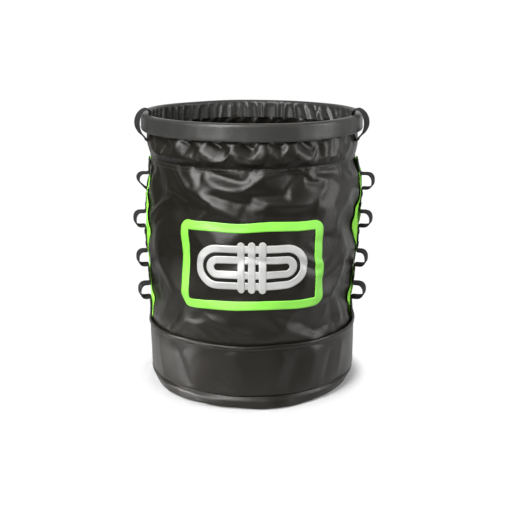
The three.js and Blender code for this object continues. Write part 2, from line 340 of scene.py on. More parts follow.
def buckle(piece, pinned, growth, frames, cap):
    """Cloth simulation of a sheet cut larger by growth than the place it is sewn into, held at its pinned
    points. No point moves further than cap."""
    group = piece.vertex_groups.new(name="seam")
    group.add(np.flatnonzero(pinned).tolist(), 1.0, "REPLACE")
    cloth = piece.modifiers.new("cloth", "CLOTH")
    settings = cloth.settings
    settings.quality = 6
    settings.mass = 0.4
    settings.tension_stiffness = settings.compression_stiffness = CLOTH_STIFFNESS
    settings.shear_stiffness = CLOTH_STIFFNESS / 2
    settings.bending_stiffness = CLOTH_BENDING
    settings.shrink_min = -growth
    settings.vertex_group_mass = group.name
    settings.effector_weights.gravity = 0
    cloth.collision_settings.use_collision = False
    cloth.point_cache.frame_start, cloth.point_cache.frame_end = 1, frames
    before = coordinates(piece.data)
    scene = bpy.context.scene
    for step in range(1, frames + 1):
        scene.frame_set(step)
    evaluated = piece.evaluated_get(bpy.context.evaluated_depsgraph_get())
    moved = coordinates(evaluated.data) - before
    far = np.linalg.norm(moved, axis=1, keepdims=True)
    moved *= np.minimum(1, cap / np.maximum(far, 1e-9))
    piece.modifiers.clear()
    piece.vertex_groups.clear()
    piece.data.vertices.foreach_set("co", (before + moved).astype(np.float32).ravel())
    piece.data.update()
    scene.frame_set(1)


# ---- materials
class Nodes:
    """Short calls for building the node tree of a material or of the world, its owner."""

    def __init__(self, owner):
        self.owner, self.tree = owner, owner.node_tree
        self.surface = self.tree.nodes.get("Principled BSDF") or self.tree.nodes["Background"]

    def put(self, node, inputs):
        for key, value in inputs.items():
            if isinstance(value, bpy.types.NodeSocket):
                self.tree.links.new(value, node.inputs[key])
            else:
                node.inputs[key].default_value = value

    def connect(self, **sockets):
        """Sets or links what the surface takes, and gives back the owner."""
        self.put(self.surface, {key.replace("_", " "): value for key, value in sockets.items()})
        return self.owner

    def add(self, kind, inputs=None, **settings):
        node = self.tree.nodes.new(kind)
        for key, value in settings.items():
            setattr(node, key, value)
        self.put(node, inputs or {})
        return node

    def math(self, operation, a, b=0.0):
        return self.add("ShaderNodeMath", {0: a, 1: b}, operation=operation).outputs[0]

    def cloth(self):
        """u and v of the cloth's map: metres, but for u on a round piece, which is phi, and across a strip,
        which is -1 to 1."""
        uv = self.add("ShaderNodeUVMap", uv_map="cloth").outputs[0]
        parts = self.add("ShaderNodeSeparateXYZ", {0: uv})
        return parts.outputs[0], parts.outputs[1]

    def noise(self, scale, detail=3.0, roughness=0.55):
        place = self.add("ShaderNodeTexCoord").outputs["Object"]
        inputs = {"Vector": place, "Scale": scale, "Detail": detail, "Roughness": roughness}
        return self.add("ShaderNodeTexNoise", inputs).outputs["Fac"]

    def spread(self, value, low, high, span=(0, 1), **settings):
        """value mapped to low to high as it goes over span."""
        inputs = {"Value": value, "From Min": span[0], "From Max": span[1], "To Min": low, "To Max": high}
        return self.add("ShaderNodeMapRange", inputs, **settings).outputs[0]

    def wave(self, distance, pitch):
        """A smooth wave from -1 to 1 that repeats every pitch."""
        return self.math("SINE", self.math("MULTIPLY", distance, 2 * math.pi / pitch))

    def weave(self, u, v, pitch):
        """Threads that cross both ways."""
        return self.math("MULTIPLY", self.wave(u, pitch), self.wave(v, pitch))

    def blend(self, factor, first, second):
        """A mix of two colours: the node's inputs 6 and 7 and its output 2 are the ones for colour."""
        inputs = {0: factor, 6: (*first, 1), 7: (*second, 1)}
        return self.add("ShaderNodeMix", inputs, data_type="RGBA").outputs[2]

    def bump(self, height, distance, strength=1.0, under=None):
        inputs = {"Height": height, "Distance": distance, "Strength": strength}
        if under is not None:
            inputs["Normal"] = under
        return self.add("ShaderNodeBump", inputs).outputs[0]


def shader(name, color, roughness, **more):
    """A plain material, as its node tree."""
    material = bpy.data.materials.new(name)
    material.use_nodes = True
    n = Nodes(material)
    n.connect(Base_Color=(*color, 1), Roughness=roughness, **more)
    return n


def floor_with_painted_shadow():
    """Takes real light and shadow near the bag, where its glow is turned down in a ring round the foot as a
    painted contact shadow, and is plain white further out, like the surroundings.
    """
    # From near to edge the floor's glow rises from 0.12 to full: a ring of painted contact shadow round the
    # foot.
    near, edge = 0.15, 0.18
    grey = (0.35, 0.35, 0.35)
    n = shader("studio_floor_painted_shadow", grey, 0.9, Specular_IOR_Level=0.0, Emission_Color=(1, 1, 1, 1))
    place = n.add("ShaderNodeTexCoord").outputs["Object"]
    reach = n.add("ShaderNodeVectorMath", {0: place}, operation="LENGTH").outputs["Value"]
    out = n.spread(reach, 0, 1, (near, edge), interpolation_type="SMOOTHSTEP")
    # Near the bag the low glow is painted shadow; the grey there also takes the real light and shadow.
    return n.connect(
        Base_Color=n.blend(out, grey, (0, 0, 0)), Emission_Strength=n.spread(out, 0.12, PALE)
    )


WEAVE = 1.1 * MM  # the pitch of a fabric's threads


def coated_fabric(name, dark, light, roughness, pitch=WEAVE):
    """Coated fabric: a woven scrim shows faintly through a semi-gloss skin that is scuffed in places."""
    n = shader(name, dark, roughness, Specular_IOR_Level=0.25)
    u, v = n.cloth()
    weave = n.weave(n.math("MULTIPLY", u, FOOT_R), v, pitch)
    grain = n.noise(900, 2)
    scuff = n.noise(22, 5, 0.6)
    return n.connect(
        Base_Color=n.blend(n.math("POWER", scuff, 1.6), dark, light),
        Roughness=n.spread(scuff, roughness - 0.06, roughness + 0.08),
        Normal=n.bump(grain, 0.06 * MM, 0.35, n.bump(weave, 0.05 * MM, 0.6)),
    )


def webbing(name, dark, light, rib=1.3 * MM):
    """Flat woven webbing: ribs across it, cut by the columns of its warp. u runs across, v along."""
    n = shader(name, dark, 0.85, Specular_IOR_Level=0.2)
    u, v = n.cloth()
    column = n.wave(u, 2.1 * MM)
    shifted = n.math("ADD", v, n.math("MULTIPLY", column, 0.3 * MM))
    ribs = n.wave(shifted, rib)
    weave = n.math("ADD", ribs, n.math("MULTIPLY", column, 0.6))
    fuzz = n.noise(700, 3)
    color = n.blend(n.math("MULTIPLY", n.spread(weave, 0.2, 0.75), fuzz), dark, light)
    return n.connect(Base_Color=color, Normal=n.bump(fuzz, 0.08 * MM, 0.5, n.bump(weave, 0.14 * MM, 0.8)))


def printed_film(name, dark, light, roughness, metallic=0.0):
    """A film pressed on fabric, whose weave shows through."""
    n = shader(name, dark, roughness, Metallic=metallic)
    u, v = n.cloth()
    wear = n.noise(60, 5, 0.65)
    return n.connect(
        Base_Color=n.blend(wear, dark, light),
        Roughness=n.spread(wear, roughness - 0.05, roughness + 0.1),
        Normal=n.bump(n.weave(u, v, WEAVE), 0.04 * MM, 0.5),
    )


def moulded(name, color, roughness):
    n = shader(name, color, roughness)
    return n.connect(
        Roughness=n.spread(n.noise(18, 4), roughness - 0.08, roughness + 0.1),
        Normal=n.bump(n.noise(500, 4), 0.1 * MM, 0.3),
    )


MATERIALS = {
    "wall": coated_fabric("wall_fabric", (0.0048, 0.0041, 0.0028), (0.0092, 0.0082, 0.0062), 0.35),
    "boot": coated_fabric("boot_fabric", (0.0044, 0.0036, 0.0024), (0.0085, 0.0075, 0.0056), 0.38, 1.6 * MM),
    "rim": coated_fabric("rim_fabric", (0.0165, 0.0163, 0.0153), (0.026, 0.026, 0.0247), 0.33),
    "webbing": webbing("black_webbing", (0.006, 0.006, 0.006), (0.03, 0.03, 0.028)),
    "green": webbing("green_webbing", (0.20, 0.56, 0.045), (0.34, 0.82, 0.10)),
    "green_film": printed_film("green_film", (0.12, 0.385, 0.028), (0.16, 0.465, 0.045), 0.5),
    "silver": printed_film("silver_film", (0.27, 0.27, 0.265), (0.36, 0.36, 0.352), 0.45, 0.2),
    "thread": shader("thread", (0.02, 0.02, 0.018), 0.7).owner,
    "board": moulded("board_plastic", (0.012, 0.012, 0.012), 0.55),
    "hoop": moulded("hoop_plastic", (0.008, 0.008, 0.008), 0.4),
}

# ---- wall
# The wall's radius at heights up the bag, seen at the front, the two sides and the back.
SHAPE_HEIGHTS = (85, 105, 127, 152, 180, 210, 245, 282, 309, 325, 345)
SHAPE = {
    "front": (151.5, 152, 153, 154.5, 155.5, 156, 156, 155, 153.5, 151.5, 149.8),
    "right": (151, 148.5, 147.5, 149, 151.5, 154.5, 156, 157.5, 155.5, 150.5, 148.5),
    "left": (151.5, 150.5, 150, 150.5, 153, 154.5, 153.5, 150.5, 147.5, 146.5, 146.5),
    "back": (151.5, 152.5, 154, 155.5, 156.5, 156.5, 156, 155, 153.5, 151.5, 149.8),
}


def smooth_curve(xs, ys, x):
    """A smooth curve through the points, for any array of x."""
    k = np.clip(np.searchsorted(xs, x) - 1, 0, len(xs) - 2)
    slopes = np.gradient(ys, xs)
    gap = xs[k + 1] - xs[k]
    t = clamp((x - xs[k]) / gap)
    return (
        (2 * t**3 - 3 * t**2 + 1) * ys[k]
        + (t**3 - 2 * t**2 + t) * (slopes[k] * gap)
        + (3 * t**2 - 2 * t**3) * ys[k + 1]
        + (t**3 - t**2) * (slopes[k + 1] * gap)
    )


def wall_radius(phi, z):
    facing = {"front": np.cos(phi), "right": np.sin(phi), "left": -np.sin(phi), "back": -np.cos(phi)}
    heights = np.array(SHAPE_HEIGHTS) * MM
    total = 0
    for side, radii in SHAPE.items():
        total = total + clamp(facing[side]) ** 2 * smooth_curve(heights, np.array(radii) * MM, z)
    return total


# Folds on the front of the wall, as (s0, z0, s1, z1, bow, width, height).
FRONT_FOLDS = [
    # broad flats and hollows
    (-116, 290, -122, 130, 0, 22, 1.6), (-163, 250, -168, 96, 0, 20, 1.5),
    (112, 330, 120, 110, 0, 26, 2.2), (-20, 145, 40, 110, 0, 30, -1.6),
    # under the collar seam, left of the middle
    (-120, 341, -84, 302, -3, 8, 4.4), (-96, 338, -62, 288, 3, 13, 2.6),
    (-132, 338, -104, 290, 3, 16, -3.2), (-62, 334, -2, 320, -3, 7, -4.6),
    (-70, 327, -4, 311, -7, 10, 5.4), (-10, 311, 56, 339, 5, 9, 5.0),
    (-8, 303, 52, 302, -2, 9, -5.0), (18, 324, 72, 327, 6, 12, -3.2),
    (2, 298, 84, 288, -4, 8, 4.2), (-58, 303, 20, 290, -3, 6, -3.2),
    (-88, 311, -14, 277, -4, 9, 3.8), (-30, 288, 62, 272, -4, 12, -2.4),
    (-60, 282, 10, 268, -3, 7, 1.6),
    # right of the middle, small creases under the seam
    (80, 335, 98, 318, 4, 4, 2.4), (82, 331, 138, 327, -2, 4, -2.4),
    (82, 325, 126, 319, -2, 4, 2.4), (74, 320, 120, 314, -2, 4, -1.8),
    (72, 332, 40, 298, -4, 8, -3.0), (112, 320, 88, 272, -5, 8, 3.2),
    (128, 318, 118, 240, 6, 14, 2.2), (140, 300, 150, 210, 4, 12, -1.6),
    # far left
    (-140, 303, -90, 291, 4, 8, 3.0), (-186, 248, -118, 293, 6, 5, 2.4),
    (-172, 234, -114, 280, 5, 6, -2.2), (-160, 335, -150, 268, -4, 16, -1.6),
    # in the label
    (-14, 230, 28, 221, -2, 3.5, 1.6), (-6, 222, 32, 210, -2, 3, -1.6),
    (-8, 215, 36, 207, -2, 3.5, 1.4), (-52, 240, -20, 230, -1, 3, 1.2),
    (-92, 226, -58, 215, -2, 4, 1.4), (60, 224, 106, 203, -3, 4.5, 2.2),
    (58, 215, 102, 194, -3, 4.5, -1.8),
    # between the label and the boot
    (-68, 137, 4, 107, -5, 7, 3.2), (-52, 127, -2, 99, -3, 5, -2.6),
    (-52, 115, 0, 92, -3, 5, 2.8), (-86, 123, -38, 95, -3, 5, 2.2),
    (-74, 120, -32, 94, -2, 4, -2.0), (-138, 105, -60, 119, 6, 10, 2.6),
    (-102, 158, -142, 96, 4, 8, -4.0), (-128, 156, -166, 96, 4, 9, 3.0),
    (-150, 150, -172, 96, 3, 10, 1.8), (116, 152, 138, 90, 5, 8, -3.4),
    (134, 150, 158, 96, 4, 9, 3.0), (58, 132, 102, 96, 3, 10, -2.0),
    (18, 137, 52, 97, 4, 12, 1.6), (70, 150, 92, 116, 3, 9, 1.6),
]


def side_ridge(s, z):
    """The wall is drawn out to a ridge under each daisy chain, uneven along its height."""
    total = np.zeros_like(s)
    for sign in SIDES.values():
        off = s - sign * CHAIN_TURN * FOOT_R
        lift = 0.5 + 0.7 * rolling(0 * s + sign, z, 60, 3 + sign)
        total += lift * MM * np.exp(-((off / (14 * MM)) ** 2))
    return total


def back_folds():
    """Folds for the back: the same kinds as on the front, laid out by chance."""
    chance = random.Random(21)
    lines = []
    # For each band: how many, where they start, how far they lean, ridge or valley, how tall, how far they
    # fall, how far they bow, and how wide.
    bands = (
        (15, (290, 342), (15, 60), (-1, 1, 1), (1.4, 3), (10, 42), 5, (5, 11)),
        (12, (98, 150), (15, 55), (-1, 1), (0.9, 2), (8, 40), 4, (4, 9)),
    )
    for count, starts, leans, signs, heights, falls, bow, widths in bands:
        for _ in range(count):
            s, z = chance.uniform(250, 480), chance.uniform(*starts)
            lean = chance.choice((-1, 1)) * chance.uniform(*leans)
            tall = chance.choice(signs) * chance.uniform(*heights)
            end = z - chance.uniform(*falls)
            lines.append((s, z, s + lean, end, chance.uniform(-bow, bow), chance.uniform(*widths), tall))
    return lines


def wall_relief(phi, z):
    s = phi * FOOT_R
    height = folds(s, z, FRONT_FOLDS) + folds(past_back(s), z, back_folds())
    height += 1.1 * MM * rolling(s, z * 0.8, 75, 1)
    height += 0.45 * MM * rolling(s, z, 28, 2)
    pinch = clamp((z - BOOT_TOP) / (14 * MM)) * clamp((SEAM_Z - z) / (10 * MM))
    return height * pinch + side_ridge(s, z) * clamp(pinch * 2)


def make_wall():
    """The wall above the boot, as one tube of fabric, buckled everywhere but at its seams."""
    phis, heights = around(256), np.linspace(BINDING_LOW - 1 * MM, WALL_TOP, 66)

    def place(phi, z):
        return polar(wall_radius(phi, z) + wall_relief(phi, z), phi, z)

    wall = grid("wall", phis, heights, place, closed=True)
    phi, z = (values.ravel() for values in np.meshgrid(phis, heights))
    sewn = (z < heights[3]) | (z > SEAM_Z - 1 * MM)
    under_chain = np.abs(np.abs(phi) - CHAIN_TURN) < 12 * MM / FOOT_R
    buckle(wall, sewn | under_chain, growth=0.018, frames=24, cap=5 * MM)
    subdivide(wall, 1)
    return settle(wall)


class Skin:
    """The outer face of the wall, or of another piece, to lay things on."""

    def __init__(self, piece):
        mesh = piece.data
        self.tree = BVHTree.FromPolygons([v.co for v in mesh.vertices], [p.vertices for p in mesh.polygons])

    def at(self, phi, z, lift=0.0):
        out, _ = directions(phi)
        place, normal, _, _ = self.tree.ray_cast(Vector((0, 0, z)), out)
        if place is None:  # above or below the piece
            place, normal = out * float(wall_radius(phi, z)) + Vector((0, 0, z)), out
        if normal.dot(out) < 0:
            normal = -normal
        return place + normal * lift

    def outside(self, phi, z):
        """The outermost place at phi and z, for a piece with an inside."""
        out, _ = directions(phi)
        return self.tree.ray_cast(out * CLEAR_R + Vector((0, 0, z)), -out)[0]

    def sheet(self, s, z, lift):
        """Arrays of x, y and z for arrays of s and z."""
        flat = np.broadcast_arrays(s, z, lift)
        points = [self.at(a / FOOT_R, b, c) for a, b, c in zip(*(f.ravel() for f in flat))]
        return np.array(points).reshape(*flat[0].shape, 3).transpose(2, 0, 1)


def split_wall(wall):
    """Front and back panels, parted at the seams under the daisy chains."""
    mesh = wall.data
    points = coordinates(mesh)
    faces = np.array([tuple(polygon.vertices) for polygon in mesh.polygons])
    uvs = np.array([tuple(corner.uv) for corner in mesh.uv_layers["cloth"].data]).reshape(-1, 4, 2)
    turns = np.abs(np.arctan2(points[:, 0], -points[:, 1]))
    in_front = turns[faces].mean(1) < CHAIN_TURN
    for node, chosen, turn in (
        ("front_wall", in_front, 2 * CHAIN_TURN),
        ("back_wall", ~in_front, 2 * math.pi - 2 * CHAIN_TURN),
    ):
        used, numbers = np.unique(faces[chosen], return_inverse=True)
        panel = mesh_object(f"{node}_fabric", points[used], numbers.reshape(-1, 4), uvs[chosen])
        thicken(panel, FABRIC)
        finish_piece(panel, "bag", "wall", [node], soft=True)
    bpy.data.objects.remove(wall)


def make_wall_foot():
    """The rest of the wall, inside the boot."""
    heights = np.linspace(WALL_LOW, BINDING_LOW + 3 * MM, 12)

    def place(phi, z):
        ripple = 0.5 * MM * rolling(phi * FOOT_R, z, 40, 9)
        return polar(WALL_FOOT_R + ripple + boot_dents(phi, z), phi, z)

    foot = thicken(grid("wall_foot", around(192), heights, place, closed=True), FABRIC)
    finish_piece(foot, "bag", "wall")


# ---- collar
COLLAR_FOLDS = [
    (-214, 372, -82, 347, -7, 10, 5.4), (-158, 375, -116, 359, -2, 6, -5.0),
    (-128, 374, -66, 349, -3, 9, 5.0), (-104, 375, -72, 361, -2, 5, -6.0),
    (-84, 372, -34, 347, -4, 10, 6.4), (-58, 376, -30, 362, -2, 5, -6.0),
    (-36, 374, 16, 346, -5, 11, 7.0), (-16, 376, 6, 362, -2, 5, -6.0),
    (10, 374, 50, 346, -4, 10, 6.0), (24, 376, 44, 363, -1, 5, -5.0),
    (46, 373, 86, 347, -4, 10, 6.0), (64, 376, 90, 362, -2, 5, -4.4),
    (92, 374, 98, 350, 2, 6, -3.0), (106, 372, 108, 347, 2, 9, 4.0),
    (124, 375, 112, 352, 2, 5, -3.6), (146, 371, 118, 346, 4, 9, 4.6),
    (158, 374, 134, 350, 3, 5, -3.6), (174, 369, 138, 346, 4, 8, 4.4),
]


def collar_back_folds():
    chance = random.Random(5)
    lines = []
    s = 186.0
    while s < 786:
        lean = chance.uniform(12, 60)
        tall = chance.uniform(3.4, 6)
        width = chance.uniform(4.5, 7)
        top, foot = chance.uniform(366, 372), chance.uniform(346, 356)
        lines.append((s, top, s + lean, foot, -0.1 * lean, width, tall))
        gap = chance.uniform(14, 26)
        between = s + gap * 0.55
        lines.append((between, 372, between + lean * 0.5, 358, 0, 3, -0.6 * tall))
        s += gap
    return lines


def make_collar():
    """The puckered band from the wall's top seam to under the rim, flatter at the bag's sides."""
    across = 448
    heights = np.linspace(COLLAR_LOW, COLLAR_TOP, 24)
    back = collar_back_folds()

    def place(phi, z):
        s = phi * FOOT_R
        up = clamp((z - SEAM_Z) / (RIM_LOW - SEAM_Z))
        slack = 1 - 0.85 * np.sin(phi) ** 4
        uneven = 1 + 0.25 * rolling(s, 0 * z, 70, 4)
        roll = 4.0 * MM * slack * np.sin(math.pi * up**0.45) * uneven
        free = clamp(up * 4) * clamp((COLLAR_TOP - z) / (4 * MM)) * slack
        relief = (folds(s, z, COLLAR_FOLDS, 1.0) + folds(past_back(s), z, back, 1.0)) * free
        wander = 2 * rolling(s, 0 * z, 30, 6)
        gathers = 0.2 * MM * np.sin(s / (1.7 * MM) + wander) * np.exp(-((up * 5) ** 2))
        seat = wall_radius(phi, 0 * z + SEAM_Z) + FABRIC
        r = seat * (1 - up) + COLLAR_TOP_R * up + roll + relief + gathers
        droop = 1.6 * MM * free * clamp(relief / (6 * MM))
        return polar(np.minimum(r, RIM_R - 0.6 * MM), phi, z - droop)

    collar = grid("collar_fabric", around(across), heights, place, closed=True)
    z = np.repeat(heights, across)
    held = (z < SEAM_Z + 1 * MM) | (z > RIM_LOW - 2 * MM)
    buckle(collar, held, growth=0.01, frames=14, cap=1.2 * MM)
    thicken(collar, FABRIC, levels=1)
    finish_piece(collar, "bag", "wall", ["collar"], soft=True)


# ---- rim
def sleeve_path():
    """The sleeve's section, from its lower outside edge over the top and down inside: rows of
    [radius, height]."""
    corner = 4.6 * MM
    inner = RIM_R - 11 * MM
    level = RIM_TOP - corner
    straight = level - RIM_LOW
    path = [(RIM_R - 0.5 * MM, RIM_LOW)]
    path += [(RIM_R, RIM_LOW + t * straight) for t in (0.05, 0.3, 0.6, 0.9)]
    path += arc(RIM_R - corner, level, corner, 0, math.pi / 2, 7)
    path += arc(inner + corner, level, corner, math.pi / 2, math.pi, 7)[1:]
    return path + [(inner, level - t * (straight + 3 * MM)) for t in np.linspace(0.08, 1, 12)]


def sleeve_pleats():
    """(place round the inside, lean, width, depth) in millimetres. The right half is more crumpled."""
    chance = random.Random(11)
    pleats = []
    place = 0.0
    while place < 2 * math.pi * PLEAT_R - 8:
        crumpled = math.sin(place / PLEAT_R) > 0.1
        leans, depths, widest_gap = ((-16, 4), (2.2, 4.6), 21) if crumpled else ((-4, 4), (2.4, 3.6), 16)
        lean, deep = chance.uniform(*leans), chance.uniform(*depths)
        pleats.append((place, lean, chance.uniform(2.8, 4.4), deep))
        place += chance.uniform(12, widest_gap)
    return pleats


def make_rim():
    """The sleeve over the hoop: smooth outside and on top, gathered in pleats inside."""
    pleats = sleeve_pleats()
    inner = PLEAT_R * MM

    def place(phi, r, z):
        s = phi * FOOT_R
        facing_in = r < RIM_R - 8 * MM
        along = (phi * inner / MM) % (2 * math.pi * inner / MM)
        gathered = np.zeros_like(phi)
        for middle, lean, width, deep in pleats:
            off = along - middle - lean * (RIM_TOP - z) / (RIM_TOP - RIM_LOW)
            gathered += deep * np.exp(-((off / width) ** 2))
        free = clamp((RIM_TOP - 2 * MM - z) / (8 * MM)) * facing_in
        wave = 0.5 * rolling(s, z, 110, 12) + 0.2 * rolling(s, z, 24, 13)
        near_top = np.exp(-(((RIM_TOP - z) / (4 * MM)) ** 2))
        lump = 0.35 * rolling(s, 0 * z, 22, 14) * near_top * facing_in
        droop = 0.5 * rolling(s, 0 * z, 160, 15)
        return polar(r + (wave - (gathered - 1.2) * free) * MM, phi, z + (lump + droop) * MM)

    sleeve = lathe("rim_fabric", sleeve_path(), place, 640)
    thicken(sleeve, FABRIC, levels=1)
    finish_piece(sleeve, "rim", "rim", ["rim_sleeve"])
    sew_round("rim_stitches", sleeve, RIM_LOW + 2.6 * MM, "rim")
    for node in ("rim_hoop", "hoop_splice"):
        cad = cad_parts[node]
        cad.data.materials.clear()
        cad.data.materials.append(MATERIALS["hoop"])


# ---- foot
# phi, in degrees, of the corners of the stiff foot, which is cut as a polygon.
FOOT_CORNERS = (-158, -128, -97, -66, -38, -9, 17, 43, 71, 99, 131, 160)


def between_corners(phi):
    """0 at each corner of the foot, 1 half-way between two."""
    corners = np.radians(FOOT_CORNERS)
    gaps = np.diff(np.concatenate([corners, [corners[0] + 2 * math.pi]]))
    wrapped = np.where(phi < corners[0], phi + 2 * math.pi, phi)
    k = np.clip(np.searchsorted(corners, wrapped, side="right") - 1, 0, len(corners) - 1)
    return np.sin(math.pi * (wrapped - corners[k]) / gaps[k]) ** 2


# Creases in the boot, in the same form as the wall's.
BOOT_FOLDS = [
    (-158, 84, -150, 20, 0, 16, 3.2), (-126, 82, -98, 22, 4, 10, -4.0),
    (-108, 72, -78, 22, 2, 14, 2.4), (-64, 82, -30, 20, 0, 16, -3.4),
    (-30, 84, 0, 24, 0, 18, 2.6), (46, 82, 22, 20, 3, 14, 3.4),
    (70, 80, 50, 20, 0, 10, -3.4), (98, 84, 82, 20, 0, 16, 3.2),
    (128, 74, 112, 20, 0, 9, -2.2), (154, 80, 146, 20, 0, 14, 2.2),
]
DEEPEST_DENT = 3.4 * MM


def boot_relief(phi, z):
    """Soft upright facets, stronger towards the foot, and a few creases."""
    s = phi * FOOT_R
    s_back = math.pi * FOOT_R - past_back(s)  # from the middle of the back, so its creases are mirrored
    low = 1 - clamp((z - BOOT_LOW) / (BOOT_TOP - BOOT_LOW))
    broad = rolling(s, z * 0.3, 60, 31) * (0.4 + 0.8 * low)
    fine = rolling(s, z * 0.5, 22, 32) * (0.1 + 0.3 * low)
    creases = folds(s, z, BOOT_FOLDS) + folds(s_back, z, BOOT_FOLDS)
    held = 0.45 + 0.55 * clamp((z - BOOT_LOW) / (20 * MM))
    relief = held * creases + (broad + fine - 0.8 * low * between_corners(phi)) * MM
    return np.maximum(relief, -DEEPEST_DENT * np.tanh(-relief / DEEPEST_DENT))


def boot_dents(phi, z):
    """Only where the boot is pressed in, for what lies behind it."""
    return np.minimum(boot_relief(phi, z), 0)


def make_boot():
    path = [(FOOT_R - 0.3 * MM, z) for z in np.linspace(BOOT_LOW + 1 * MM, BOOT_TOP - 1.5 * MM, 26)]

    def place(phi, r, z):
        hem = 1.3 * MM * np.exp(-(((z - BOOT_LOW - 1 * MM) / (1.8 * MM)) ** 2))
        return polar(r + boot_relief(phi, z) - hem, phi, z)

    boot = thicken(lathe("boot_fabric", path, place, 320), 1.4 * MM, levels=1)
    finish_piece(boot, "bag", "boot", ["boot_band"])


def make_binding():
    """The boot's top edge, folded over and stitched: a flattened ring round the wall."""
    depth = BOOT_TOP - BINDING_LOW
    outs = (-0.8, 0.4, 1, 1.1, 0.9, 0.4, -0.9, -1.9)
    ups = (0.02, 0, 0.12, 0.5, 0.84, 1, 1.03, 0.9)
    path = [(FOOT_R + out * MM, BINDING_LOW + up * depth) for out, up in zip(outs, ups)]

    def place(phi, r, z):
        s = phi * FOOT_R
        ripple = 0.25 * MM * rolling(s, 0 * z, 14, 41)
        droop = 0.5 * MM * rolling(s, 0 * z, 60, 42)
        return polar(r + boot_relief(phi, z) + ripple, phi, z + droop)

    binding = thicken(lathe("boot_binding_fabric", path, place, 320), 0.8 * MM, levels=1)
    finish_piece(binding, "bag", "boot", ["boot_binding"])
    sew_round("binding_stitches", binding, BINDING_LOW + 1.9 * MM, "bag")


# How far the base panel is tucked in where it meets the ground, in millimetres, at phi in degrees. It comes
# furthest out in front, right of the middle.
TUCK_TURNS = (-180, -150, -120, -90, -62, -46, -31, -8, 14, 30, 46, 62, 90, 120, 150, 180)
TUCK = (7, 9, 11, 10, 5, -1, -2, -1, -5, 2, 5, 7, 10, 9, 10, 7)


def make_dish():
    """The base panel: flat below, turned up round the edge and inside the boot."""
    edge, corner = FOOT_R + 0.4 * MM, 4.5 * MM
    tucked, cuff = FOOT_R - 2.4 * MM, 16.5 * MM  # it lies inside the boot above cuff
    outside = [(edge, 8), (edge, 11), (edge - 0.3 * MM, 13.5), (edge - 1.2 * MM, 15.5)]
    outside += [(tucked, 17), (tucked, 20), (tucked, 27.5)]
    below = [(r * MM, 0.0) for r in (20, 60, 95, 115, 128, 138, 146)]
    below += arc(edge - corner, corner, corner, -math.pi / 2, 0, 9)
    below += [(r, z * MM) for r, z in outside]
    within = [(r - FABRIC, z * MM) for r, z in reversed(outside)]
    within += arc(edge - corner, corner, corner - FABRIC, 0, -math.pi / 2, 9)
    within += [(r * MM, FABRIC) for r in (145, 138, 128, 115, 95, 60, 20)]

    def place(phi, r, z):
        s = phi * FOOT_R
        outer = clamp((r - 100 * MM) / (50 * MM))
        tuck = smooth_curve(np.array(TUCK_TURNS, float), np.array(TUCK, float), np.degrees(phi))
        lean = clamp(1 - z / (16 * MM)) ** 0.8
        lump = (0.5 * rolling(s, z, 60, 51) + 0.2 * rolling(s, z, 17, 53)) * clamp(lean * 3)
        lift = 0.8 * clamp((r - 140 * MM) / (12 * MM)) * lean * (1 + rolling(s, 0 * z, 50, 52))
        behind = np.where(z > cuff, boot_dents(phi, z), 0)
        return polar(r + (lump - tuck * lean) * outer * MM + behind, phi, z + np.maximum(lift, 0) * MM)

    dish = lathe("base_fabric", below + within, place, 320, capped=True)
    finish_piece(dish, "bag", "boot", ["base_panel"])


def make_board():
    """The stiffener inside, a thick plastic sheet with rounded edges."""
    low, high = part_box("base_board")
    edge, depth = high.x, high.z - low.z
    middle, flat, bevel = 20 * MM, edge - 1.5 * MM, edge - 0.4 * MM
    rows = [(middle, 0), (edge * 0.6, 0), (flat, 0), (bevel, 0.12), (edge, 0.5), (bevel, 0.88), (flat, 1)]
    rows += [(edge * t, 1) for t in (0.9, 0.75, 0.6, 0.4)] + [(middle, 1)]
    path = [(r, low.z + up * depth) for r, up in rows]

    def place(phi, r, z):
        bow = 0.25 * MM * rolling(phi * FOOT_R, r, 60, 61) * (z > low.z + depth / 2)
        return polar(r, phi, z + bow)

    board = lathe("base_board_plate", path, place, 160, capped=True)
    finish_piece(board, "bag", "board", ["base_board"])


# ---- straps
def smooth_path(points, step):
    """Points at even steps along a Catmull-Rom curve through the given ones."""
    ends = [2 * points[0] - points[1], *points, 2 * points[-1] - points[-2]]
    dense = []
    for a, b, c, d in zip(ends, ends[1:], ends[2:], ends[3:]):
        bend, twist = 2 * a - 5 * b + 4 * c - d, 3 * b - a - 3 * c + d
        for t in np.linspace(0, 1, 12, endpoint=False):
            dense.append(0.5 * (2 * b + (c - a) * t + bend * t**2 + twist * t**3))
    dense.append(points[-1])
    lengths = np.concatenate([[0], np.cumsum([(q - p).length for p, q in zip(dense, dense[1:])])])
    wanted = np.linspace(0, lengths[-1], max(2, int(lengths[-1] / step)) + 1)
    xyz = np.array([tuple(p) for p in dense])
    return [Vector([np.interp(w, lengths, xyz[:, c]) for c in range(3)]) for w in wanted]


def strap(name, points, crosswise, width, thickness):
    """A webbing strap with rounded edges, whose middle follows points. crosswise gives its crosswise
    direction at each place."""
    path = smooth_path(points, 1.5 * MM)
    steps = np.linspace(-1, 1, 9)
    section = [(width / 2 * t, thickness / 2 * (1 - 0.55 * abs(t) ** 8)) for t in steps]
    section += [(a, -b) for a, b in reversed(section)]
    corners = []
    for k, place in enumerate(path):
        along = (path[min(k + 1, len(path) - 1)] - path[max(k - 1, 0)]).normalized()
        side = crosswise(place)
        out = along.cross(side).normalized()
        corners += [place + side * a + out * b for a, b in section]
    lengths = np.cumsum([0, *((after - before).length for before, after in zip(path, path[1:]))])
    flat = [(a, length) for length in lengths for a, _ in section]
    faces = tube(len(section), len(path))
    return mesh_object(name, corners, faces, [flat[i] for face in faces for i in face])


# A gear loop's outline from its upper root to its lower one, as (reach, height above its middle).
LOOP = [
    (0, 15), (0.6, 11.9), (3.5, 10.6), (9, 10.7), (13.8, 9.3), (17.1, 5.2), (18, 0),
    (17.3, -5), (14, -9.2), (9, -10.6), (3.5, -10.7), (0.6, -12), (0, -15),
]
